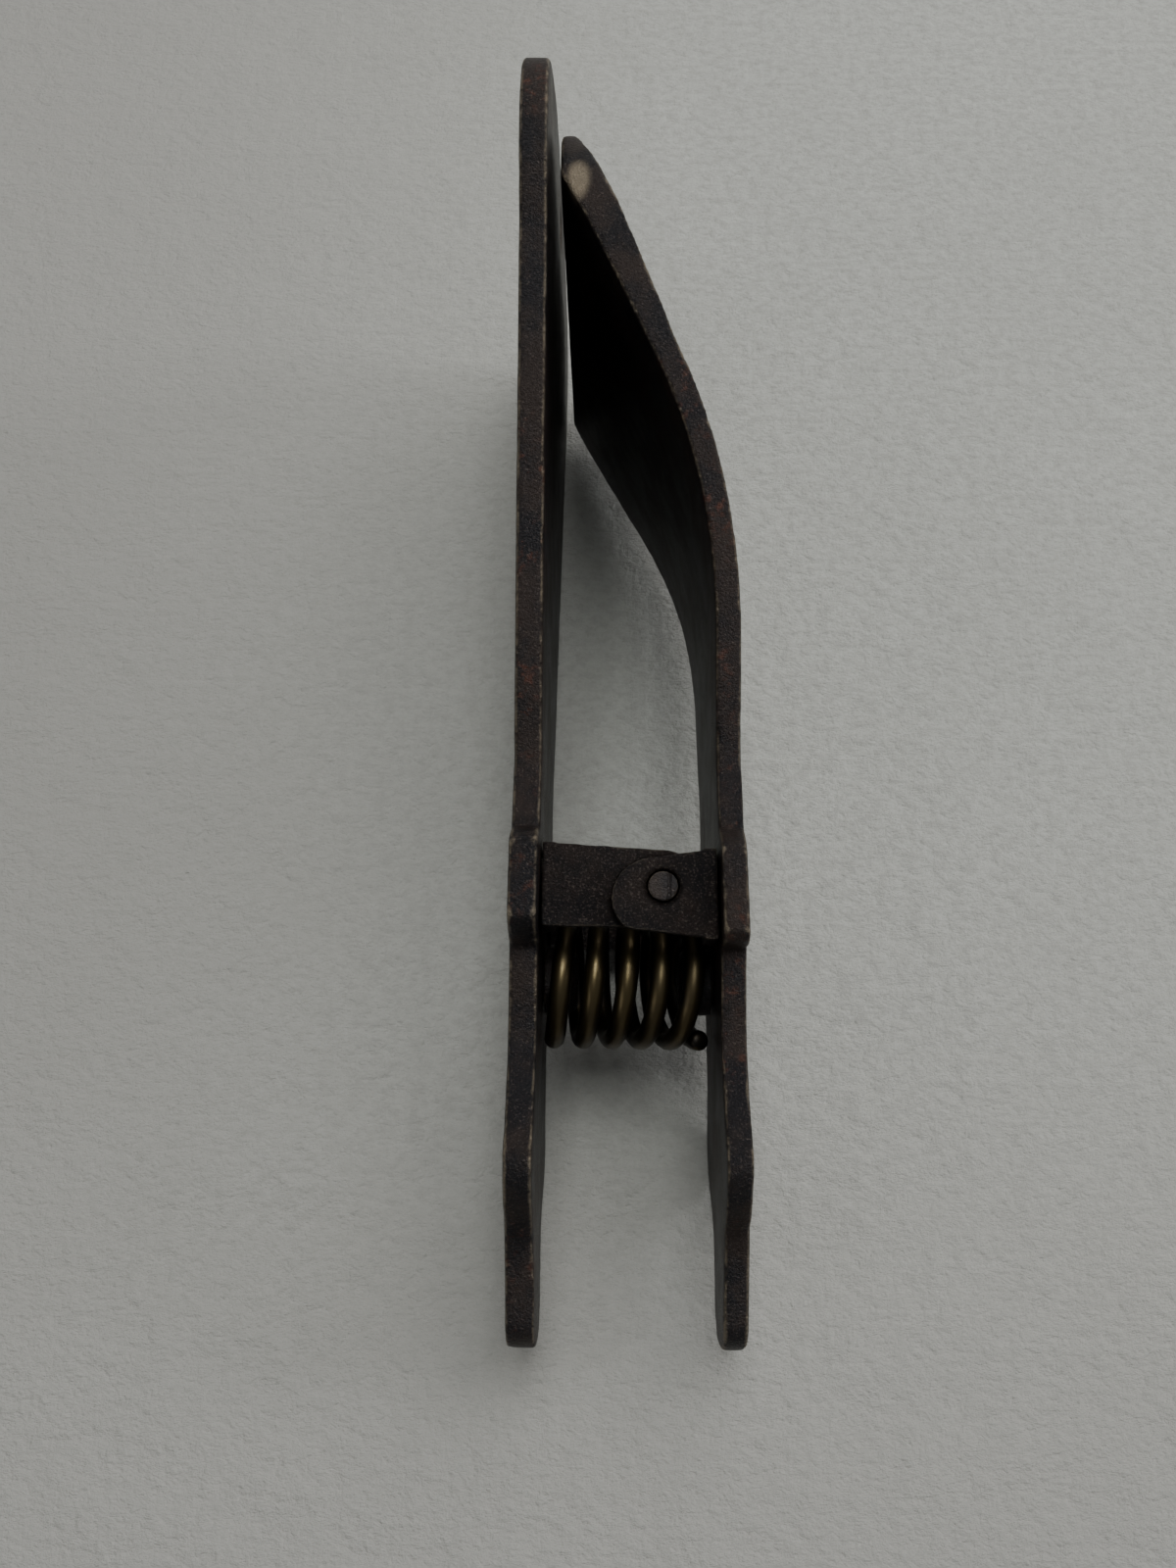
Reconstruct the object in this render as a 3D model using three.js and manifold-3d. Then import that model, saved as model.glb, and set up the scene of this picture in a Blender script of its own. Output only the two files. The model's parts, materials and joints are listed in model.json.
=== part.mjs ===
// A sprung steel clip trap, resting on its side edges as it does on a table.
//
// Two flat-stamped plates face each other. Each carries a U-shaped hinge bracket, and the
// brackets' ears overlap and turn on two short rivets, one above and one below. A coil
// spring between the finger ends pushes them apart, so the curved front plate shuts
// against the flat back plate at the jaw end.
//
// Millimetres. In the clip's own frame, X runs across from the back plate to the front
// plate, Y from the finger end to the jaw end, and Z across the plates' width, with Z = 0
// on the middle plane. The finished clip is tipped about X until it rests on its edges.

import * as THREE from 'three';
import { mergeVertices } from 'three/addons/utils/BufferGeometryUtils.js';
import Module from 'manifold-3d';

const wasm = await Module();
wasm.setup();

// Plates
const PLATE = 2.7; // thickness of the back plate
const JAW_PLATE = 2.4; // thickness of the front plate
const FRONT_X = 18.55; // inner face of the front plate, square to the back plate's
const REST_TURN = THREE.MathUtils.degToRad(1.2); // the front assembly rests turned this far shut
const TAIL_BEND_Y = 9; // the finger ends lean inwards below this
const TAIL_LEAN = 0.2;
const FIT_GAP = 0.1; // between pieces riveted face to face

// Jaw: an arc and then a straight run down to the back plate
const JAW_START_Y = 64;
const JAW_RADIUS = 52;
const JAW_ANGLE = THREE.MathUtils.degToRad(26.6);
const JAW_REST_GAP = 0.7;
const JAW_TIP_Y = 112.6;
const JAW_TIP = 0.5; // thickness left at the lip's end

// Outline of the plates: half width, distance from the finger end
const FINGER_EDGE = [
  [0, 0], [2.6, 0.3], [4.7, 2.0], [5.5, 5.5], [7.0, 9.9], [10.6, 13.5], [12.3, 16.9],
  [10.8, 20.7], [9.4, 26.7], [10.6, 32.0], [11.2, 34.8],
];
const BODY_EDGE = [
  [12.3, 45.6], [12.1, 48], [11.7, 52.2], [14.1, 59.2], [17.1, 70.7], [20.4, 82.7], [23.0, 93.7],
];
const HEADER_EDGE = [
  [24.0, 97.8], [25.6, 101.0], [27.2, 105.2], [27.4, 110.2], [25.6, 113.8], [21.6, 116.3],
  [14.6, 118.4], [7.4, 119.4], [0, 119.7],
];
const JAW_EDGE = [
  [23.6, 97.4], [24.0, 100.8], [23.5, 104.2], [22.0, 107.8], [19.4, 110.8], [14.2, 112.7], [0, 113.3],
];
const LUG_WIDTH = 15.2; // half width across the lugs beside the ears
const LUG_CORNER = 0.9;
const WIDEST_POINT = new THREE.Vector2(27.2, 105.2);
const FINGER_LOBE = new THREE.Vector2(12.3, 16.9);
const HANG_HOLE_Y = 114.4;
const HANG_HOLE_RADIUS = 2.2;

// Hinge
const PIVOT = new THREE.Vector2(13.6, 40.3);
const BRACKET = 1.2; // strip thickness
const BACK_EAR_Z = 11.2; // outer face of the back bracket's ears
const EAR_GAP = 0.15;
const FRONT_EAR_Z = BACK_EAR_Z + EAR_GAP + BRACKET;
const BACK_EAR = { low: 36.8, high: 44.4, endRadius: 3.5 };
const FRONT_EAR = { low: 35.6, high: 43.7, endX: 9.0 };
const PIVOT_RADIUS = 1.3;
const PIVOT_CLEARANCE = 0.1;
const PIVOT_HEAD_RADIUS = 2.1;
const PIVOT_HEAD = 0.8;
const PIVOT_PROUD = 0.05;

// Rivets that hold the brackets
const RIVET_RADIUS = 1.2;
const RIVET_HEAD_RADIUS = 1.9;
const RIVET_HEAD = 0.7;
const RIVET_Y = 42.2;
const RIVET_Z = 7.9;
const HOLE_CLEARANCE = 0.15;

// Spring and the studs that hold its ends
const SPRING_Y = 32.8;
const SPRING_RADIUS = 5.4; // to the middle of the wire
const WIRE_RADIUS = 1.0;
const SPRING_TURNS = 5;
const SPRING_LEAN = 1.5; // the turns lean, upper side towards the front plate
const SPRING_SEAT_GAP = 0.1;
const STUD_RADIUS = 3.2;
const STUD_HEIGHT = 3.3;
const STUD_CHAMFER = 0.7;
const STUD_TENON_RADIUS = 1.9;
const BRACKET_NOTCH_RADIUS = 7.0; // the strips are cut away round the spring

// Facets
const ROUND_STEPS = 24;
const EDGE_STEPS = 4; // per outline point
const ARC_STEPS = 8;
const WIRE_SIDES = 8;
const STEPS_PER_TURN = 16;
const CUTTER = 40; // half length of a solid that passes right through

const steel = new THREE.MeshStandardMaterial({ color: 0x2c2320, roughness: 0.5, metalness: 0.85 });
const bracketSteel = new THREE.MeshStandardMaterial({ color: 0x231d1b, roughness: 0.6, metalness: 0.8 });
const rivetSteel = new THREE.MeshStandardMaterial({ color: 0x3a302b, roughness: 0.45, metalness: 0.85 });
const springWire = new THREE.MeshStandardMaterial({ color: 0x4a3d22, roughness: 0.4, metalness: 0.9 });

function toSolid(geometry) {
  const bare = geometry.clone();
  bare.deleteAttribute('normal');
  bare.deleteAttribute('uv');
  const merged = mergeVertices(bare, 1e-4);
  return new wasm.Manifold(new wasm.Mesh({
    numProp: 3,
    vertProperties: new Float32Array(merged.attributes.position.array),
    triVerts: new Uint32Array(merged.index.array),
  }));
}

function toGeometry(solid) {
  const mesh = solid.getMesh();
  const geometry = new THREE.BufferGeometry();
  geometry.setAttribute('position', new THREE.BufferAttribute(mesh.vertProperties, 3));
  geometry.setIndex(new THREE.BufferAttribute(mesh.triVerts, 1));
  geometry.computeVertexNormals();
  return geometry;
}

function namedMesh(name, geometry, material) {
  const mesh = new THREE.Mesh(geometry, material);
  mesh.name = name;
  return mesh;
}

// Extrudes a shape drawn in X and Y from z = low to z = high.
function alongZ(shape, low, high) {
  const geometry = new THREE.ExtrudeGeometry(shape, { depth: high - low, bevelEnabled: false });
  return geometry.translate(0, 0, low);
}

// Extrudes a shape drawn as (Z, Y) from x = low to x = high.
function alongX(shape, low, high) {
  return alongZ(shape, low, high).rotateY(Math.PI / 2);
}

// Turns a profile of [radius, distance along X] points into a solid of revolution about X.
function turnedAlongX(profile, y, z) {
  const points = profile.map(([radius, x]) => new THREE.Vector2(radius, x));
  const geometry = new THREE.LatheGeometry(points, ROUND_STEPS);
  return geometry.rotateZ(-Math.PI / 2).translate(0, y, z);
}

function circleHole(x, y, radius) {
  const hole = new THREE.Path();
  hole.setFromPoints(Array.from({ length: ROUND_STEPS }, (unused, i) => {
    const angle = (i / ROUND_STEPS) * 2 * Math.PI;
    return new THREE.Vector2(x + radius * Math.cos(angle), y + radius * Math.sin(angle));
  }));
  return hole;
}

function smoothEdge(points) {
  const curve = new THREE.SplineCurve(points.map(([w, y]) => new THREE.Vector2(w, y)));
  return curve.getPoints((points.length - 1) * EDGE_STEPS);
}

// The plate's outline as (Z, Y), with a square lug each side of the hinge.
function plateOutline(endEdge, ear) {
  const lug = [
    [LUG_WIDTH - LUG_CORNER, ear.low - LUG_CORNER / 2],
    [LUG_WIDTH, ear.low + LUG_CORNER / 2],
    [LUG_WIDTH, ear.high - LUG_CORNER / 2],
    [LUG_WIDTH - LUG_CORNER, ear.high + LUG_CORNER / 2],
  ].map(([w, y]) => new THREE.Vector2(w, y));
  const half = [
    ...smoothEdge(FINGER_EDGE), ...lug, ...smoothEdge(BODY_EDGE), ...smoothEdge(endEdge),
  ];
  const otherHalf = half.slice(1, -1).reverse().map((p) => new THREE.Vector2(-p.x, p.y));
  const shape = new THREE.Shape([...half, ...otherHalf]);
  shape.holes.push(circleHole(0, SPRING_Y, STUD_TENON_RADIUS + HOLE_CLEARANCE));
  for (const side of [-1, 1]) {
    shape.holes.push(circleHole(side * RIVET_Z, RIVET_Y, RIVET_RADIUS + HOLE_CLEARANCE));
  }
  return shape;
}

// The side view of each plate, as (X, Y).
function backProfile() {
  return new THREE.Shape([
    [TAIL_LEAN, -1], [PLATE + TAIL_LEAN, -1], [PLATE, TAIL_BEND_Y], [PLATE, 130],
    [0, 130], [0, TAIL_BEND_Y],
  ].map(([x, y]) => new THREE.Vector2(x, y)));
}

function jawArc(radius) {
  const centreX = FRONT_X - JAW_RADIUS;
  return Array.from({ length: ARC_STEPS + 1 }, (unused, i) => {
    const angle = (i / ARC_STEPS) * JAW_ANGLE;
    return [centreX + radius * Math.cos(angle), JAW_START_Y + radius * Math.sin(angle)];
  });
}

function frontProfile() {
  const turnAtLip = Math.tan(REST_TURN) * (JAW_TIP_Y - PIVOT.y);
  const lipX = PLATE + JAW_REST_GAP + turnAtLip;
  const inner = jawArc(JAW_RADIUS);
  const outer = jawArc(JAW_RADIUS + JAW_PLATE);
  const [endX, endY] = inner.at(-1);
  const lipY = endY + (endX - lipX) / Math.tan(JAW_ANGLE);
  return new THREE.Shape([
    [FRONT_X - TAIL_LEAN, -1], [FRONT_X + JAW_PLATE - TAIL_LEAN, -1],
    [FRONT_X + JAW_PLATE, TAIL_BEND_Y], ...outer, [lipX + JAW_TIP, JAW_TIP_Y], [lipX, JAW_TIP_Y],
    [lipX, lipY], ...inner.reverse(), [FRONT_X, TAIL_BEND_Y],
  ].map(([x, y]) => new THREE.Vector2(x, y)));
}

function plateGeometry(profile, outline) {
  const side = toSolid(alongZ(profile, -CUTTER, CUTTER));
  const face = toSolid(alongX(outline, -CUTTER, CUTTER));
  return toGeometry(side.intersect(face));
}

function backPlate() {
  const outline = plateOutline(HEADER_EDGE, BACK_EAR);
  outline.holes.push(circleHole(0, HANG_HOLE_Y, HANG_HOLE_RADIUS));
  return namedMesh('back_plate', plateGeometry(backProfile(), outline), steel);
}

function frontPlate() {
  const outline = plateOutline(JAW_EDGE, FRONT_EAR);
  return namedMesh('front_jaw_plate', plateGeometry(frontProfile(), outline), steel);
}

// The strip that lies on the plate: a bar with its lower edge cut away round the spring.
function bracketStrip(ear, halfWidth) {
  const shape = new THREE.Shape();
  const notchHalf = Math.sqrt(BRACKET_NOTCH_RADIUS ** 2 - (ear.low - SPRING_Y) ** 2);
  const notchAngle = Math.atan2(ear.low - SPRING_Y, notchHalf);
  shape.moveTo(-halfWidth, ear.low);
  shape.lineTo(-notchHalf, ear.low);
  shape.absarc(0, SPRING_Y, BRACKET_NOTCH_RADIUS, Math.PI - notchAngle, notchAngle, true);
  shape.lineTo(halfWidth, ear.low);
  shape.lineTo(halfWidth, ear.high);
  shape.lineTo(-halfWidth, ear.high);
  for (const side of [-1, 1]) {
    shape.holes.push(circleHole(side * RIVET_Z, RIVET_Y, RIVET_RADIUS + HOLE_CLEARANCE));
  }
  return shape;
}

function backEarShape(stripX) {
  const { low, high, endRadius } = BACK_EAR;
  const shape = new THREE.Shape();
  shape.moveTo(stripX, low);
  shape.lineTo(PIVOT.x, PIVOT.y - endRadius);
  shape.absarc(PIVOT.x, PIVOT.y, endRadius, -Math.PI / 2, Math.PI / 2, false);
  shape.lineTo(stripX, high);
  return shape;
}

function frontEarShape(stripX) {
  const { low, high, endX } = FRONT_EAR;
  const end = new THREE.SplineCurve([
    [11.8, 42.8], [10.0, 41.7], [endX, 39.3], [10.0, 36.9], [12.2, 36.4],
  ].map(([x, y]) => new THREE.Vector2(x, y))).getPoints(ROUND_STEPS / 2);
  return new THREE.Shape([new THREE.Vector2(stripX, high), ...end, new THREE.Vector2(stripX, low)]);
}

// A U-shaped bracket: the strip and its two ears as one solid.
function hingeBracket(name, ear, earShape, stripLow, earBase, outerZ) {
  const holeRadius = PIVOT_RADIUS + PIVOT_CLEARANCE;
  earShape.holes.push(circleHole(PIVOT.x, PIVOT.y, holeRadius));
  let solid = toSolid(alongX(bracketStrip(ear, outerZ), stripLow, stripLow + BRACKET));
  for (const low of [outerZ - BRACKET, -outerZ]) {
    solid = solid.add(toSolid(alongZ(earShape, low, low + BRACKET)));
  }
  return namedMesh(name, toGeometry(solid), bracketSteel);
}

function backBracket() {
  const stripLow = PLATE + FIT_GAP;
  return hingeBracket('back_hinge_bracket', BACK_EAR, backEarShape(stripLow), stripLow, stripLow, BACK_EAR_Z);
}

function frontBracket() {
  const stripHigh = FRONT_X - FIT_GAP;
  return hingeBracket(
    'front_hinge_bracket', FRONT_EAR, frontEarShape(stripHigh), stripHigh - BRACKET, stripHigh, FRONT_EAR_Z,
  );
}

// A pivot rivet, with its head inside the ears and its worn end showing outside.
function pivotRivet(name, side) {
  const headLow = BACK_EAR_Z - BRACKET - EAR_GAP - PIVOT_HEAD;
  const headHigh = headLow + PIVOT_HEAD;
  const profile = [
    [0, headLow], [PIVOT_HEAD_RADIUS * 0.8, headLow], [PIVOT_HEAD_RADIUS, headLow + PIVOT_HEAD / 2],
    [PIVOT_HEAD_RADIUS, headHigh], [PIVOT_RADIUS, headHigh],
    [PIVOT_RADIUS, FRONT_EAR_Z + PIVOT_PROUD], [0, FRONT_EAR_Z + PIVOT_PROUD],
  ].map(([radius, z]) => new THREE.Vector2(radius, z));
  const geometry = new THREE.LatheGeometry(profile, ROUND_STEPS).rotateX(Math.PI / 2);
  if (side < 0) geometry.rotateX(Math.PI);
  return namedMesh(name, geometry.translate(PIVOT.x, PIVOT.y, 0), rivetSteel);
}

// A piece riveted through a plate. Distances are from the plate's outer face inwards, and
// facing is 1 where inwards is +X and -1 where it is -X.
function throughPlate(name, profile, plateOuterX, facing, y, z) {
  const placed = profile.map(([radius, depth]) => [radius, plateOuterX + facing * depth]);
  const ordered = facing > 0 ? placed : placed.reverse();
  return namedMesh(name, turnedAlongX(ordered, y, z), rivetSteel);
}

function bracketRivetProfile(plate) {
  const seat = plate + FIT_GAP + BRACKET + FIT_GAP;
  return [
    [0, 0], [RIVET_RADIUS, 0], [RIVET_RADIUS, seat], [RIVET_HEAD_RADIUS, seat],
    [RIVET_HEAD_RADIUS * 0.8, seat + RIVET_HEAD * 0.7], [RIVET_HEAD_RADIUS * 0.35, seat + RIVET_HEAD],
    [0, seat + RIVET_HEAD],
  ];
}

function studProfile(plate) {
  const seat = plate + FIT_GAP;
  const top = plate + STUD_HEIGHT;
  return [
    [0, 0], [STUD_TENON_RADIUS, 0], [STUD_TENON_RADIUS, seat], [STUD_RADIUS, seat],
    [STUD_RADIUS, top - STUD_CHAMFER], [STUD_RADIUS - STUD_CHAMFER, top], [0, top],
  ];
}

class SpringPath extends THREE.Curve {
  getPoint(t, target = new THREE.Vector3()) {
    const angle = t * SPRING_TURNS * 2 * Math.PI;
    const low = PLATE + SPRING_SEAT_GAP + WIRE_RADIUS;
    const high = FRONT_X - SPRING_SEAT_GAP - WIRE_RADIUS;
    const lean = SPRING_LEAN * t * Math.sin(angle);
    return target.set(
      low + (high - low) * t + lean,
      SPRING_Y - SPRING_RADIUS * Math.cos(angle),
      SPRING_RADIUS * Math.sin(angle),
    );
  }
}

function coilSpring() {
  const wire = new THREE.Shape(Array.from({ length: WIRE_SIDES }, (unused, i) => {
    const angle = (i / WIRE_SIDES) * 2 * Math.PI;
    return new THREE.Vector2(WIRE_RADIUS * Math.cos(angle), WIRE_RADIUS * Math.sin(angle));
  }));
  const geometry = new THREE.ExtrudeGeometry(wire, {
    steps: SPRING_TURNS * STEPS_PER_TURN, bevelEnabled: false, extrudePath: new SpringPath(),
  });
  return namedMesh('coil_spring', geometry, springWire);
}

// Tips the clip until its widest point and its finger lobes lie level, and stands it on Z = 0.
function standOnEdge(clip) {
  const rise = WIDEST_POINT.x - FINGER_LOBE.x;
  clip.rotation.x = Math.atan2(rise, WIDEST_POINT.y - FINGER_LOBE.y);
  clip.updateMatrixWorld(true);
  const bounds = new THREE.Box3().setFromObject(clip, true);
  const centre = bounds.getCenter(new THREE.Vector3());
  clip.position.set(-centre.x, -centre.y, -bounds.min.z);
}

// Turns a piece of the front assembly about the pivot, from square to the angle it rests at.
function turnedToRest(mesh) {
  mesh.geometry.translate(-PIVOT.x, -PIVOT.y, 0).rotateZ(REST_TURN).translate(PIVOT.x, PIVOT.y, 0);
  return mesh;
}

function rivetedPieces(side, plate, outerX, facing) {
  const rivet = bracketRivetProfile(plate);
  return [
    throughPlate(`${side}_bracket_rivet_upper`, rivet, outerX, facing, RIVET_Y, RIVET_Z),
    throughPlate(`${side}_bracket_rivet_lower`, rivet, outerX, facing, RIVET_Y, -RIVET_Z),
    throughPlate(`${side}_spring_stud`, studProfile(plate), outerX, facing, SPRING_Y, 0),
  ];
}

const clip = new THREE.Group();
clip.add(backPlate(), backBracket(), ...rivetedPieces('back', PLATE, 0, 1));
clip.add(pivotRivet('upper_pivot_rivet', 1), pivotRivet('lower_pivot_rivet', -1));
const frontPieces = [
  frontPlate(), frontBracket(), ...rivetedPieces('front', JAW_PLATE, FRONT_X + JAW_PLATE, -1),
];
clip.add(...frontPieces.map(turnedToRest), coilSpring());
standOnEdge(clip);

const trap = new THREE.Group();
trap.add(clip);

export default trap;
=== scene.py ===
import json
import math

import bmesh
import bpy
import numpy as np
from mathutils import Euler, Matrix, Vector, kdtree, noise


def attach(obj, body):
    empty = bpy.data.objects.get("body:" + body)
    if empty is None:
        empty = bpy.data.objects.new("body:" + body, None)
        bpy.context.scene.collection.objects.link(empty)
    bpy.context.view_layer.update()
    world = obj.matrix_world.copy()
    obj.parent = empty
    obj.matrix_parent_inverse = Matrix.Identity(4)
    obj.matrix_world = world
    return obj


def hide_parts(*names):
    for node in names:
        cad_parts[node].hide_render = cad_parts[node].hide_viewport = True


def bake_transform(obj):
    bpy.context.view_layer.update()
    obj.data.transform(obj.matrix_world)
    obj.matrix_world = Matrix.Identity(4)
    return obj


MM = 0.001
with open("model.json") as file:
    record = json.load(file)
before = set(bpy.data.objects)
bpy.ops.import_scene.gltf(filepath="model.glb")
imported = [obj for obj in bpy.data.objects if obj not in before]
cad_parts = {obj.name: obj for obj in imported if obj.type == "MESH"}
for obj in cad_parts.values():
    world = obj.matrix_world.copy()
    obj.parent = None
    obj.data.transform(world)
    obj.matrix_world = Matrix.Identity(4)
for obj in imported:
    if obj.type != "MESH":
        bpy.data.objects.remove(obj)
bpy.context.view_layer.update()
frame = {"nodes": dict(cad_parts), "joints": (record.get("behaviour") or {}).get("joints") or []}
NODES = frame["nodes"]
BACK, FRONT = "back_assembly", "front_assembly"

# ---------------------------------------------------------------- the clip's own frame
# X across from plate to plate, Y towards the jaw, Z across the width, as in part.mjs.
HINGE = frame["joints"][0]
PIVOT = Vector(HINGE["pos_m"])
PIVOT_XY = (13.6, 40.3)  # the pivot in the clip's frame, mm
CLIP_Z = -Vector(HINGE["axis"]).normalized()
CLIP_X = Vector((1, 0, 0))
CLIP_Y = CLIP_Z.cross(CLIP_X)
TURN = Matrix((CLIP_X, CLIP_Y, CLIP_Z)).transposed().to_4x4()
TO_PIVOT = Matrix.Translation(Vector((-PIVOT_XY[0], -PIVOT_XY[1], 0)) * MM)
CLIP = Matrix.Translation(PIVOT) @ TURN @ TO_PIVOT


def place(x, y, z):
    """A point of the clip's frame, in mm, as a point of the row's frame."""
    return CLIP @ (Vector((x, y, z)) * MM)


# ---------------------------------------------------------------- camera, light and floor
EYE = (9.18, 23.57, 127.91)  # mm, in the clip's frame
LOOK = (12.63, 0.95, 0.93)  # degrees
FOCAL_SHARE = 0.84375  # focal length over the frame's height
SENSOR_HEIGHT = 36
NEAREST = 0.005  # m, the closest thing the camera draws


def make_camera():
    data = bpy.data.cameras.new("camera")
    data.sensor_fit = "VERTICAL"
    data.sensor_height = SENSOR_HEIGHT
    data.lens = FOCAL_SHARE * SENSOR_HEIGHT
    data.clip_start = NEAREST
    camera = bpy.data.objects.new("camera", data)
    bpy.context.scene.collection.objects.link(camera)
    look = Euler([math.radians(a) for a in LOOK], "XYZ").to_matrix().to_4x4()
    camera.matrix_world = CLIP @ Matrix.Translation(Vector(EYE) * MM) @ look
    bpy.context.scene.camera = camera


# name: place in m, size in m, watts, colour. They all face the clip.
LIGHTS = {
    "softbox": ((0.30, 0.50, 0.82), (0.9, 0.7), 7.9, (1.0, 0.99, 0.965)),
    "overhead": ((0.02, 0.16, 1.1), (0.4, 0.5), 8.0, (0.96, 1.0, 0.97)),
    "side_fill": ((0.70, 0.10, 0.35), (0.2, 0.2), 2.4, (0.97, 0.99, 1.0)),
    "rear_fill": ((-0.6, -0.5, 0.45), (0.5, 0.5), 0.8, (1.0, 1.0, 1.0)),
}
LIT_POINT = Vector((0, 0, 0.02))
ROOM_COLOUR = (0.80, 0.82, 0.82)
ROOM_STRENGTH = 0.32


def area_light(name, position, size, watts, colour):
    data = bpy.data.lights.new(name, "AREA")
    data.shape = "RECTANGLE"
    data.size, data.size_y = size
    data.energy = watts
    data.color = colour
    light = bpy.data.objects.new(name, data)
    bpy.context.scene.collection.objects.link(light)
    light.location = position
    light.rotation_euler = (LIT_POINT - Vector(position)).to_track_quat("-Z", "Y").to_euler()


def make_light():
    for name, settings in LIGHTS.items():
        area_light(name, *settings)
    world = bpy.data.worlds.new("world")
    world.use_nodes = True
    back = world.node_tree.nodes["Background"]
    back.inputs["Color"].default_value = (*ROOM_COLOUR, 1)
    back.inputs["Strength"].default_value = ROOM_STRENGTH
    bpy.context.scene.world = world


# ---------------------------------------------------------------- material helpers
class Nodes:
    """Short calls for building a node tree."""

    def __init__(self, name):
        self.material = bpy.data.materials.new(name)
        self.material.use_nodes = True
        self.tree = self.material.node_tree
        self.shader = self.tree.nodes["Principled BSDF"]
        self.place = self.tree.nodes.new("ShaderNodeTexCoord").outputs["Object"]

    def link(self, source, target):
        self.tree.links.new(source, target)

    def set(self, **values):
        for name, value in values.items():
            self.shader.inputs[name.replace("_", " ")].default_value = value

    def noise(self, scale, detail, roughness=0.55, stretch=None):
        """A noise texture with about scale features to the metre."""
        node = self.tree.nodes.new("ShaderNodeTexNoise")
        node.inputs["Scale"].default_value = scale
        node.inputs["Detail"].default_value = detail
        node.inputs["Roughness"].default_value = roughness
        source = self.place
        if stretch:
            mapping = self.tree.nodes.new("ShaderNodeMapping")
            mapping.inputs["Scale"].default_value = stretch
            self.link(source, mapping.inputs["Vector"])
            source = mapping.outputs["Vector"]
        self.link(source, node.inputs["Vector"])
        return node.outputs["Fac"]

    def coordinate(self, axis):
        """X, Y or Z in the row's frame, in metres."""
        node = self.tree.nodes.new("ShaderNodeSeparateXYZ")
        self.link(self.place, node.inputs["Vector"])
        return node.outputs[axis]

    def attribute(self, name):
        """A value stored on the mesh's points."""
        node = self.tree.nodes.new("ShaderNodeAttribute")
        node.attribute_name = name
        return node.outputs["Fac"]

    def band(self, value, low, high, out_low=0.0, out_high=1.0):
        """Runs smoothly from out_low, where value is low, to out_high, where it is high."""
        node = self.tree.nodes.new("ShaderNodeMapRange")
        node.interpolation_type = "SMOOTHSTEP"
        limits = {"From Min": low, "From Max": high, "To Min": out_low, "To Max": out_high}
        for name, number in limits.items():
            node.inputs[name].default_value = number
        self.link(value, node.inputs["Value"])
        return node.outputs["Result"]

    def math(self, operation, a, b):
        node = self.tree.nodes.new("ShaderNodeMath")
        node.operation = operation
        node.use_clamp = operation != "ADD"
        for socket, value in zip(node.inputs, (a, b)):
            if isinstance(value, (int, float)):
                socket.default_value = value
            else:
                self.link(value, socket)
        return node.outputs["Value"]

    def mix(self, factor, a, b):
        node = self.tree.nodes.new("ShaderNodeMix")
        node.data_type = "RGBA"
        self.link(factor, node.inputs["Factor"])
        for socket, value in ((node.inputs[6], a), (node.inputs[7], b)):
            if isinstance(value, tuple):
                socket.default_value = (*value, 1)
            else:
                self.link(value, socket)
        return node.outputs[2]

    def bump(self, layers):
        """Chains bumps: (height, strength, distance in metres)."""
        normal = None
        for height, strength, distance in layers:
            node = self.tree.nodes.new("ShaderNodeBump")
            node.inputs["Strength"].default_value = strength
            node.inputs["Distance"].default_value = distance
            self.link(height, node.inputs["Height"])
            if normal:
                self.link(normal, node.inputs["Normal"])
            normal = node.outputs["Normal"]
        self.link(normal, self.shader.inputs["Normal"])

    def finish(self, colour, roughness=None, metallic=None):
        self.link(colour, self.shader.inputs["Base Color"])
        if roughness:
            self.link(roughness, self.shader.inputs["Roughness"])
        if metallic:
            self.link(metallic, self.shader.inputs["Metallic"])
        return self.material


# ---------------------------------------------------------------- materials
BLACK_SCALE = (0.0036, 0.0030, 0.0042)
BROWN_PATINA = (0.0150, 0.0096, 0.0080)
RED_RUST = (0.052, 0.019, 0.012)
GREY_GRIT = (0.11, 0.088, 0.076)
# Painted shade: the near-black laid where pieces lie close together near the hinge.
PAINTED_SHADE_BLACK = (0.0015, 0.0013, 0.0014)
# Worn bare steel, also used as a painted highlight along edges and on the rubbed spot.
BARE_STEEL_HIGHLIGHT = (0.26, 0.215, 0.155)

# Noise scales of the steel, in features to the metre
RUST_PLACES = 85
PATINA_CLOUDS = 190
SHALLOW_DENTS = 260
SPOT_BLOTCHES = 380
RUST_SPECKS = 800
EDGE_BREAKS = 900
COARSE_PITS = 1150
FINE_PITS = 4200
GRIT_GRAINS = 4800

STEEL_ROUGH = (0.40, 0.50)  # from the dark patina to the brown
GLOSS_SMOOTHS = 0.3  # how far full gloss lowers the roughness
RUB_SMOOTHS = 0.15
OXIDE_METALLIC = 0.35
RUB_METALLIC = 0.5  # added where the oxide is rubbed off


def steel_rust(n, amount):
    """Specks of red rust, gathered in some places."""
    rusty_place = n.band(n.noise(RUST_PLACES, 3), 0.48, 0.62)
    speck = n.band(n.noise(RUST_SPECKS, 5, 0.75), 0.52, 0.68)
    return n.math("MULTIPLY", n.math("MULTIPLY", speck, rusty_place), amount)


def steel_rubbed_and_highlight(n, amount):
    """Broken bright lines along worn edges, and the rubbed spot: worn bare steel, lightened
    further as a painted highlight.
    """
    broken = n.band(n.noise(EDGE_BREAKS, 5, 0.7), 0.36, 0.60)
    edges = n.math("MULTIPLY", n.band(n.attribute("wear_and_highlight"), 0.55, 1.0), broken)
    edges = n.math("MULTIPLY", edges, amount)
    uneven = n.band(n.noise(SPOT_BLOTCHES, 3, 0.5), 0.05, 0.50)
    return n.math("MAXIMUM", edges, n.math("MULTIPLY", n.attribute("rubbed_highlight_spot"), uneven))


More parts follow.
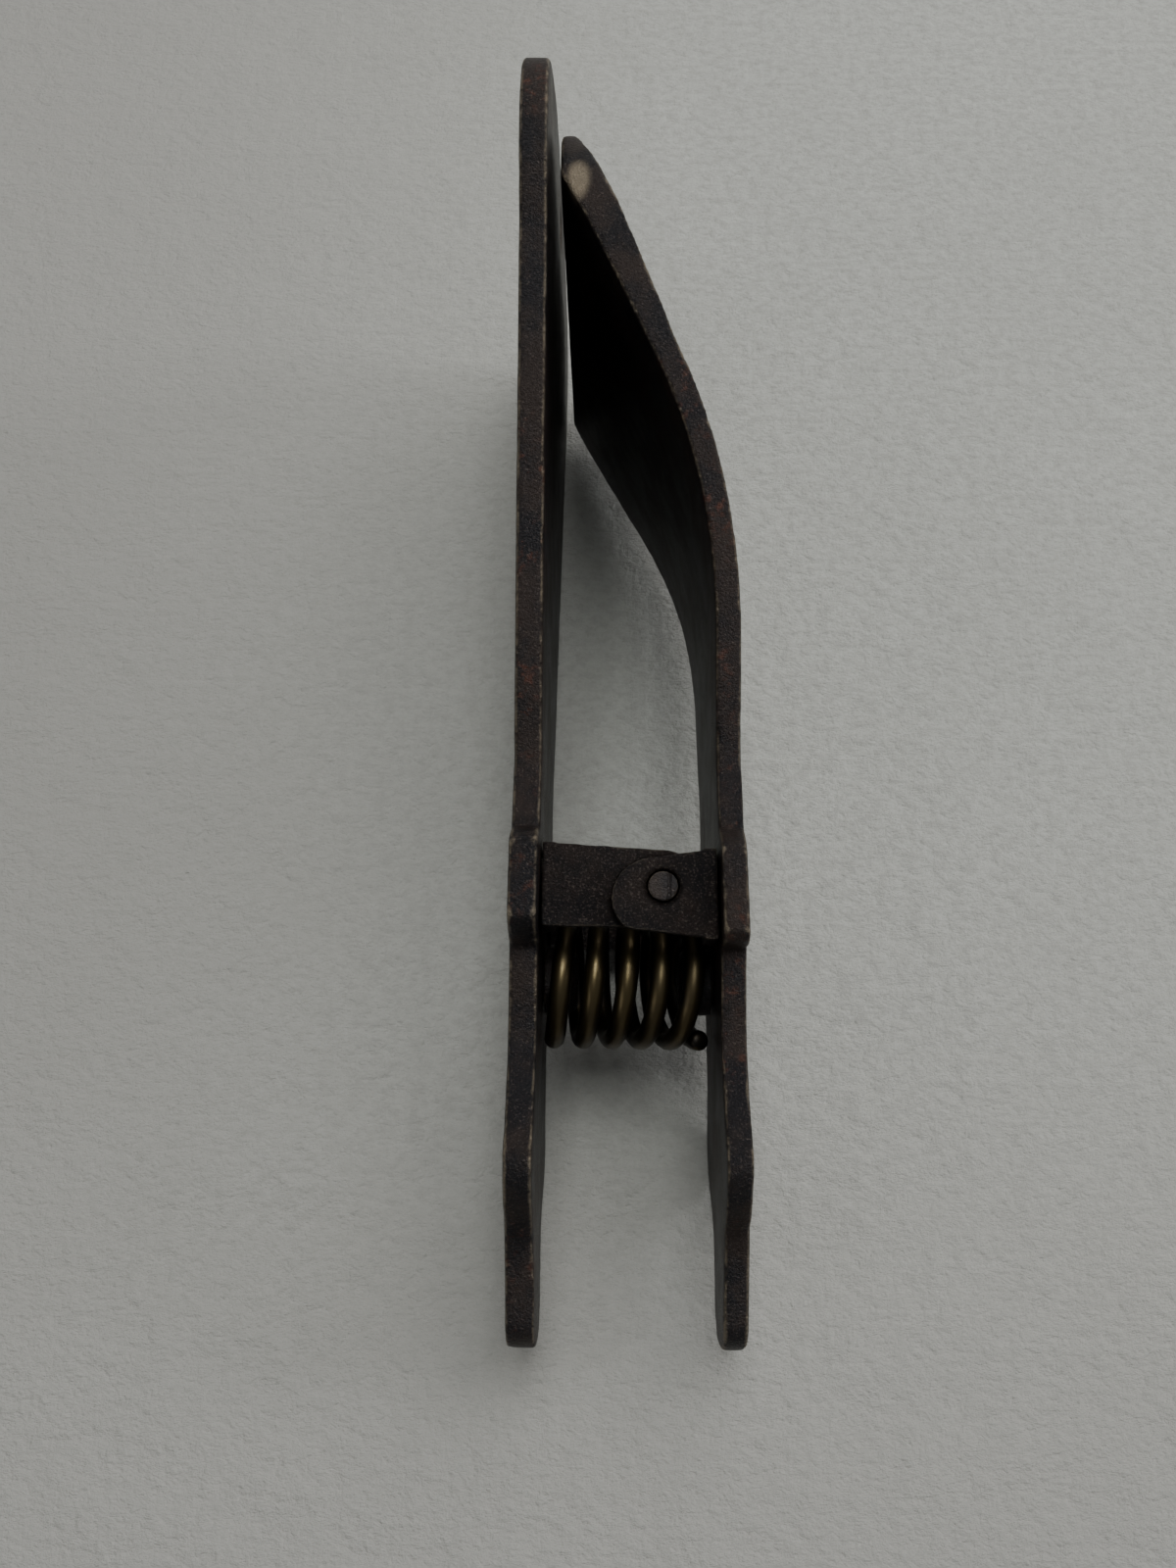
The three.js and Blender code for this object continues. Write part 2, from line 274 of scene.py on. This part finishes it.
def steel_colour(n, cloud, brown, rust, pits, rubbed_and_highlight, painted_shade):
    colour = n.mix(n.band(cloud, 0.38, 0.62, 0, brown), BLACK_SCALE, BROWN_PATINA)
    colour = n.mix(steel_rust(n, rust), colour, RED_RUST)
    gritty = 0.60 - 0.06 * pits  # noise above this is grit
    most = 0.25 + 0.35 * pits
    grit = n.band(n.noise(GRIT_GRAINS, 3, 0.75), gritty, gritty + 0.12, 0, most)
    colour = n.mix(grit, colour, GREY_GRIT)
    # Worn edges and the rubbed spot, lightened as a painted highlight.
    colour = n.mix(rubbed_and_highlight, colour, BARE_STEEL_HIGHLIGHT)
    # Painted shade darkens the colour where pieces lie close together.
    return n.mix(painted_shade, colour, PAINTED_SHADE_BLACK)


def aged_steel(name, brown, rust, pits, gloss, rub, shade_amount=1.0):
    """Blackened steel gone brown, rusty in specks, bright where rubbed with a painted highlight on
    the worn steel, and darkened with painted shade where pieces lie close together near the hinge.
    """
    n = Nodes(name)
    cloud = n.noise(PATINA_CLOUDS, 6, 0.68)
    rubbed_and_highlight = steel_rubbed_and_highlight(n, rub)
    painted_shade = n.math("MULTIPLY", n.attribute("painted_shade"), shade_amount)
    colour = steel_colour(n, cloud, brown, rust, pits, rubbed_and_highlight, painted_shade)
    rough = n.band(cloud, 0.35, 0.65, *(r - GLOSS_SMOOTHS * gloss for r in STEEL_ROUGH))
    rough = n.math("SUBTRACT", rough, n.math("MULTIPLY", rubbed_and_highlight, RUB_SMOOTHS))
    metallic = n.math("ADD", OXIDE_METALLIC, n.math("MULTIPLY", rubbed_and_highlight, RUB_METALLIC))
    # The painted shade also turns the specular down.
    n.link(n.band(painted_shade, 0.0, 0.8, gloss, 0.0), n.shader.inputs["Specular IOR Level"])
    n.bump([
        (n.noise(SHALLOW_DENTS, 4, 0.6), 0.25, 0.0004),
        (n.noise(COARSE_PITS, 5, 0.7), pits * 0.7, 0.00026),
        (n.noise(FINE_PITS, 3, 0.75), pits, 0.00045),
    ])
    return n.finish(colour, rough, metallic)


WIRE_DARK = (0.010, 0.008, 0.007)
WIRE_BRASSY = (0.040, 0.030, 0.015)
# Painted highlight on the outside of the coil, laid over the tarnish.
WIRE_HIGHLIGHT = (0.115, 0.086, 0.040)
WIRE_ROUGH = (0.44, 0.30)  # from the dark patches to the brassy
TARNISH_PATCHES = 220  # features to the metre, as are the next two
WIRE_GRAIN = 700
DRAWN_LINES = 1500


def wire_metal():
    """Drawn spring wire with a dull brassy tarnish, darker in patches, and a painted highlight on
    the outside of the coil.
    """
    n = Nodes("spring_wire_brassy")
    patch = n.noise(TARNISH_PATCHES, 4, 0.6)
    colour = n.mix(n.band(patch, 0.36, 0.66), WIRE_DARK, WIRE_BRASSY)
    # Painted highlight on the outside of the coil.
    rubbed_and_highlight = n.math("MULTIPLY", n.band(n.attribute("wear_and_highlight"), 0.5, 1.0), 0.35)
    colour = n.mix(rubbed_and_highlight, colour, WIRE_HIGHLIGHT)
    drawn = n.noise(DRAWN_LINES, 3, 0.6, stretch=(1, 0.2, 1))
    rough = n.band(patch, 0.3, 0.7, *WIRE_ROUGH)
    n.set(Metallic=0.9)
    n.bump([(drawn, 0.15, 0.0001), (n.noise(WIRE_GRAIN, 3, 0.6), 0.15, 0.0001)])
    return n.finish(colour, rough)


FLOOR_COOL = (0.325, 0.325, 0.305)
FLOOR_PALE = (0.365, 0.366, 0.345)
FLOOR_WEAVE = (0.265, 0.262, 0.246)
# Painted shade on the floor, towards the back plate's side and the finger end; the next two lines
# place it.
FLOOR_PAINTED_SHADE = (0.235, 0.222, 0.210)  # towards the back plate's side and the finger end
PAINTED_SHADE_LEFT = (-0.09, 0.03, 0.7, 0)  # X of its dim and clear ends, m, and the dimming at each
PAINTED_SHADE_FRONT = (-0.08, 0.02, 0.6, 0)  # the same in Y
CLOTH_PATCHES = 9  # features to the metre, as are the next two
CLOTH_LUMPS = 150
CLOTH_WEAVE = 620


def cloth_floor():
    """Pale cloth with a faint weave, and painted shade to the left and the front."""
    n = Nodes("pale_floor")
    n.set(Roughness=0.95, Specular_IOR_Level=0.1)
    colour = n.mix(n.band(n.noise(CLOTH_PATCHES, 4, 0.6), 0.3, 0.7), FLOOR_COOL, FLOOR_PALE)
    # Painted shade: the floor darkens to the left and to the front.
    left = n.band(n.coordinate("X"), *PAINTED_SHADE_LEFT)
    front = n.band(n.coordinate("Y"), *PAINTED_SHADE_FRONT)
    colour = n.mix(n.math("MAXIMUM", left, front), colour, FLOOR_PAINTED_SHADE)
    weave = n.noise(CLOTH_WEAVE, 5, 0.78, stretch=(1, 1.4, 1))
    colour = n.mix(n.band(weave, 0.38, 0.66, 0, 0.8), colour, FLOOR_WEAVE)
    n.bump([(n.noise(CLOTH_LUMPS, 4, 0.65), 0.5, 0.0016), (weave, 0.8, 0.0009)])
    return n.finish(colour)


PLATE_STEEL = aged_steel(
    "plate_steel_aged", brown=0.95, rust=1.0, pits=0.60, gloss=0.22, rub=0.55,
)
BRACKET_STEEL = aged_steel(
    "bracket_steel_aged", brown=0.90, rust=0.5, pits=1.0, gloss=0.30, rub=0.2,
)
RIVET_STEEL = aged_steel(
    "rivet_steel_aged", brown=1.0, rust=0.4, pits=0.4, gloss=0.28, rub=0.2, shade_amount=0.35,
)
WIRE_METAL = wire_metal()


# ---------------------------------------------------------------- worked pieces
WELD = 1e-6  # m
SMOOTHING = 0.5  # how far each smoothing pass moves a point


def cad_copy(node):
    """The CAD node's mesh, welded, as a new object."""
    mesh = NODES[node].data.copy()
    welded = bmesh.new()
    welded.from_mesh(mesh)
    bmesh.ops.remove_doubles(welded, verts=welded.verts, dist=WELD)
    welded.to_mesh(mesh)
    welded.free()
    mesh.materials.clear()
    piece = bpy.data.objects.new(node + "_worked", mesh)
    bpy.context.scene.collection.objects.link(piece)
    return piece


def apply_modifiers(piece):
    graph = bpy.context.evaluated_depsgraph_get()
    mesh = bpy.data.meshes.new_from_object(piece.evaluated_get(graph))
    piece.modifiers.clear()
    piece.data = mesh


def neighbour_mean(values, pairs):
    """The mean of each point's neighbours along the mesh's edges."""
    total = np.zeros_like(values)
    count = np.zeros(len(values))
    for a, b in ((0, 1), (1, 0)):
        np.add.at(total, pairs[:, a], values[pairs[:, b]])
        np.add.at(count, pairs[:, a], 1)
    count = np.maximum(count, 1)
    return total / (count if values.ndim == 1 else count[:, None])


def vertex_arrays(mesh):
    """Points, normals and edges as arrays."""
    points = np.empty(len(mesh.vertices) * 3)
    mesh.vertices.foreach_get("co", points)
    normals = np.empty(len(mesh.vertices) * 3)
    mesh.vertex_normals.foreach_get("vector", normals)
    pairs = np.empty(len(mesh.edges) * 2, int)
    mesh.edges.foreach_get("vertices", pairs)
    return points.reshape(-1, 3), normals.reshape(-1, 3), pairs.reshape(-1, 2)


def clip_points(mesh):
    """The mesh's points in the clip's frame, mm."""
    points, _, _ = vertex_arrays(mesh)
    return np.array([CLIP.inverted() @ Vector(p) for p in points]) / MM


def store(mesh, name, values):
    layer = mesh.attributes.new(name, "FLOAT", "POINT")
    layer.data.foreach_set("value", values.astype(np.float32))


WEAR_SPREAD = 2  # smoothing passes
FULL_WEAR = 0.125  # how proud a fully worn point stands, as a share of the voxel size


def add_wear_and_highlight(mesh, full):
    """Stores how sharply each point stands proud, 0 to 1, as the point attribute that the
    materials read for worn edges and their painted highlight.
    """
    points, normals, pairs = vertex_arrays(mesh)
    proud = ((points - neighbour_mean(points, pairs)) * normals).sum(1)
    proud = np.clip(proud, 0, None)
    for _ in range(WEAR_SPREAD):
        proud = 0.5 * proud + 0.5 * neighbour_mean(proud, pairs)
    wear_and_highlight = np.clip(proud / full, 0, 1)
    store(mesh, "wear_and_highlight", wear_and_highlight)
    return wear_and_highlight


BROAD_WAVE, FINE_WAVE, NICK_WAVE = 9, 1.7, 3.1  # mm, sizes of the unevenness
NICK_FLOOR = 0.15  # noise below this leaves an edge whole
SEED_STEP = Vector((7.3, 3.1, 5.7))


def hammer(mesh, wear_and_highlight, broad, fine, nicks, seed):
    """Uneven thickness, small dents and nicked edges, all of them inwards. Depths are in mm."""
    points, normals, _ = vertex_arrays(mesh)
    shift = SEED_STEP * seed
    depth = np.zeros(len(points))
    for i, point in enumerate(points):
        p = Vector(point) / MM
        slow = 0.5 + 0.5 * noise.noise(p / BROAD_WAVE + shift)
        quick = 0.5 + 0.5 * noise.noise(p / FINE_WAVE + shift)
        nick = max(0.0, noise.noise(p / NICK_WAVE - shift) - NICK_FLOOR)
        depth[i] = broad * slow + fine * quick + nicks * wear_and_highlight[i] * nick
    moved = points - normals * depth[:, None] * MM
    mesh.vertices.foreach_set("co", moved.ravel())
    mesh.update()


def finish_piece(piece, material, body):
    """Gives a piece its look, and the body that it moves with, if it has one."""
    piece.data.materials.clear()
    piece.data.materials.append(material)
    piece.data.polygons.foreach_set("use_smooth", [True] * len(piece.data.polygons))
    if body:
        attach(piece, body)


def worked_piece(node, material, slot, body, seed, voxel, rounding, dents):
    """A CAD node remade as a fine mesh with rounded, uneven, worn edges. Sizes are in mm."""
    piece = cad_copy(node)
    remesh = piece.modifiers.new("remesh", "REMESH")
    remesh.mode = "VOXEL"
    remesh.voxel_size = voxel * MM
    remesh.adaptivity = 0
    smooth = piece.modifiers.new("smooth", "SMOOTH")
    smooth.factor = SMOOTHING
    smooth.iterations = rounding
    apply_modifiers(piece)
    wear_and_highlight = add_wear_and_highlight(piece.data, FULL_WEAR * voxel * MM)
    hammer(piece.data, wear_and_highlight, *dents, seed)
    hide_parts(node)
    finish_piece(piece, material, body)
    return piece


# Voxel size in mm, smoothing passes, and depths in mm of (broad waves, fine waves, nicks)
PLATE_MESH = {"voxel": 0.31, "rounding": 5, "dents": (0.08, 0.03, 0.25)}
BRACKET_MESH = {"voxel": 0.16, "rounding": 2, "dents": (0.03, 0.05, 0.15)}
RIVET_DENTS = (0.02, 0.02, 0.10)
PIVOT_MESH = {"voxel": 0.11, "rounding": 1, "dents": RIVET_DENTS}
RIVET_MESH = {"voxel": 0.15, "rounding": 2, "dents": RIVET_DENTS}
STUD_MESH = {"voxel": 0.18, "rounding": 3, "dents": RIVET_DENTS}

# A worn spot at the jaw's near corner, with a painted highlight on it.
RUBBED_CORNER = (5.3, 102.8, 23.9)  # where the jaw's near corner is worn bright, mm
RUBBED_REACH = (1.2, 2.8, 2.0)  # half its size each way, mm
RUBBED_MOST = 0.55
RUBBED_SLOPE = 1.2  # how steeply it rises from its rim


def rub_highlight_spot(mesh):
    """Stores a bright worn spot with a painted highlight on it, strongest at its middle, as a
    point attribute for the steel's colour.
    """
    away = (clip_points(mesh) - RUBBED_CORNER) / RUBBED_REACH
    reach = np.linalg.norm(away, axis=1)
    store(mesh, "rubbed_highlight_spot", np.clip(RUBBED_SLOPE * (1 - reach), 0, RUBBED_MOST))


# Painted shade: points this close to another piece, near the pivot, are darkened.
SHADE_REACH = 0.6  # mm from a neighbouring piece
SHADE_ZONE = 8  # mm along the clip, each way from the pivot


def near_hinge(points):
    return np.abs(points[:, 1] - PIVOT_XY[1]) < SHADE_ZONE


def add_painted_shade(pieces):
    """Stores how close each point lies to another piece, 0 to 1, as a point attribute: painted
    shade that darkens the steel where pieces meet.
    """
    points = [clip_points(piece.data) for piece in pieces]
    for piece, own in zip(pieces, points):
        others = np.concatenate([p[near_hinge(p)] for p in points if p is not own])
        tree = kdtree.KDTree(len(others))
        for i, point in enumerate(others):
            tree.insert(point, i)
        tree.balance()
        painted_shade = np.zeros(len(own))
        for i in np.flatnonzero(near_hinge(own)):
            painted_shade[i] = max(0.0, 1 - tree.find(own[i])[2] / SHADE_REACH)
        store(piece.data, "painted_shade", painted_shade)


def make_plates():
    back = worked_piece("back_plate", PLATE_STEEL, "plate_steel", BACK, seed=1, **PLATE_MESH)
    jaw = worked_piece(
        "front_jaw_plate", PLATE_STEEL, "plate_steel", FRONT, seed=2, **PLATE_MESH,
    )
    rub_highlight_spot(jaw.data)
    return [back, jaw]


def make_brackets():
    brackets = []
    for seed, (side, body) in enumerate((("back", BACK), ("front", FRONT)), start=3):
        node = f"{side}_hinge_bracket"
        brackets.append(
            worked_piece(node, BRACKET_STEEL, "bracket_steel", body, seed, **BRACKET_MESH)
        )
    return brackets


SCORE = (0.38, 0.58)  # a line scored across the pivot rivets' ends, from the axis, mm
SCORE_DEPTH = 0.2  # mm
END_SPREAD = 1.045  # the hammered end nearly fills its hole
PIVOT_END = 12.3  # mm from the middle plane, just below the end's face


def score_end(mesh, side):
    """Spreads a pivot rivet's worn end and cuts the straight line that crosses it."""
    for vertex in mesh.vertices:
        local = CLIP.inverted() @ vertex.co / MM
        if side * local.z < PIVOT_END:
            continue
        x, y = local.x - PIVOT_XY[0], local.y - PIVOT_XY[1]
        cut = SCORE_DEPTH if SCORE[0] < x < SCORE[1] else 0
        x, y = PIVOT_XY[0] + x * END_SPREAD, PIVOT_XY[1] + y * END_SPREAD
        vertex.co = place(x, y, local.z - side * cut)
    mesh.update()


def rivet_piece(node, body, seed, mesh):
    return worked_piece(node, RIVET_STEEL, "rivet_steel", body, seed, **mesh)


def make_rivets():
    rivets = []
    for seed, (level, side) in enumerate((("upper", 1), ("lower", -1))):
        rivets.append(rivet_piece(f"{level}_pivot_rivet", BACK, 10 + seed, PIVOT_MESH))
        score_end(rivets[-1].data, side)
        for plate, body in (("back", BACK), ("front", FRONT)):
            node = f"{plate}_bracket_rivet_{level}"
            rivets.append(rivet_piece(node, body, 20 + seed, RIVET_MESH))
    for plate, body in (("back", BACK), ("front", FRONT)):
        rivets.append(rivet_piece(f"{plate}_spring_stud", body, 30, STUD_MESH))
    return rivets


# ---------------------------------------------------------------- spring
SPRING_TURNS = 5
SPRING_LEAN = 1.5  # the turns lean more and more towards the front plate
SPRING_Y = 32.8
SPRING_RADIUS = 5.4  # to the middle of the wire
SPRING_SPAN = (3.8, 17.5)  # the wire's middle at its two ends
WIRE_RADIUS = 0.97
WIRE_SIDES = 16
RINGS_PER_TURN = 40
END_ANGLES = (1.35, 0.95, 0.5)  # radians round the rounded ends, from tip to side
END_BULGE = 0.5  # how far an end bulges, over the wire's radius


def spring_centre(t):
    """The wire's middle at the share t of its length, in the clip's frame, mm."""
    angle = t * SPRING_TURNS * 2 * math.pi
    low, high = SPRING_SPAN
    lean = SPRING_LEAN * t * math.sin(angle)
    around = Vector((0, -math.cos(angle), math.sin(angle))) * SPRING_RADIUS
    return Vector((low + (high - low) * t + lean, SPRING_Y, 0)) + around


def wire_ring(mesh, t, share, push):
    """One ring of the wire: its share of the full thickness, pushed along the wire by push."""
    step = 0.25 / (SPRING_TURNS * RINGS_PER_TURN)  # a quarter of the way to the next ring
    centre = spring_centre(t)
    along = (spring_centre(t + step) - spring_centre(t - step)).normalized()
    out = Vector((0, centre.y - SPRING_Y, centre.z)).normalized()
    side = along.cross(out).normalized()
    out = side.cross(along)
    ring = []
    for k in range(WIRE_SIDES):
        angle = 2 * math.pi * k / WIRE_SIDES
        offset = (out * math.cos(angle) + side * math.sin(angle)) * WIRE_RADIUS * share
        ring.append(mesh.verts.new(place(*(centre + along * push + offset))))
    return ring


def spring_sections():
    """Places along the wire as (t, share, push), with both of its ends rounded off."""
    count = SPRING_TURNS * RINGS_PER_TURN
    ends = [(math.cos(a), END_BULGE * WIRE_RADIUS * math.sin(a)) for a in END_ANGLES]
    start = [(0.0, share, -push) for share, push in ends]
    finish = [(1.0, share, push) for share, push in reversed(ends)]
    return start + [(i / count, 1.0, 0.0) for i in range(count + 1)] + finish


def make_spring():
    """The coil as one smooth wire between the two plates."""
    mesh = bmesh.new()
    rings = [wire_ring(mesh, *section) for section in spring_sections()]
    for one, two in zip(rings, rings[1:]):
        for k in range(WIRE_SIDES):
            j = (k + 1) % WIRE_SIDES
            mesh.faces.new((one[k], one[j], two[j], two[k]))
    mesh.faces.new(list(reversed(rings[0])))
    mesh.faces.new(rings[-1])
    bmesh.ops.recalc_face_normals(mesh, faces=mesh.faces)
    data = bpy.data.meshes.new("coil_spring_wire")
    mesh.to_mesh(data)
    mesh.free()
    spring = bpy.data.objects.new("coil_spring_wire", data)
    bpy.context.scene.collection.objects.link(spring)
    # Painted highlight on the outside of the coil.
    paint_coil_highlight(data)
    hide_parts("coil_spring")
    finish_piece(spring, WIRE_METAL, None)
    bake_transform(spring)


def paint_coil_highlight(mesh):
    """Stores a painted highlight, brightest on the outside of the coil, as a point attribute."""
    local = clip_points(mesh)
    reach = np.hypot(local[:, 1] - SPRING_Y, local[:, 2])
    store(mesh, "wear_and_highlight", np.clip((reach - SPRING_RADIUS) / WIRE_RADIUS, 0, 1))


FLOOR_HALF = 1.2  # m


def make_floor():
    mesh = bpy.data.meshes.new("floor")
    signs = ((-1, -1), (1, -1), (1, 1), (-1, 1))
    corners = [(x * FLOOR_HALF, y * FLOOR_HALF, 0) for x, y in signs]
    mesh.from_pydata(corners, [], [(0, 1, 2, 3)])
    mesh.materials.append(cloth_floor())
    floor = bpy.data.objects.new("floor", mesh)
    bpy.context.scene.collection.objects.link(floor)


make_camera()
make_light()
make_floor()
# Painted shade where the pieces meet near the hinge.
add_painted_shade(make_plates() + make_brackets() + make_rivets())
make_spring()
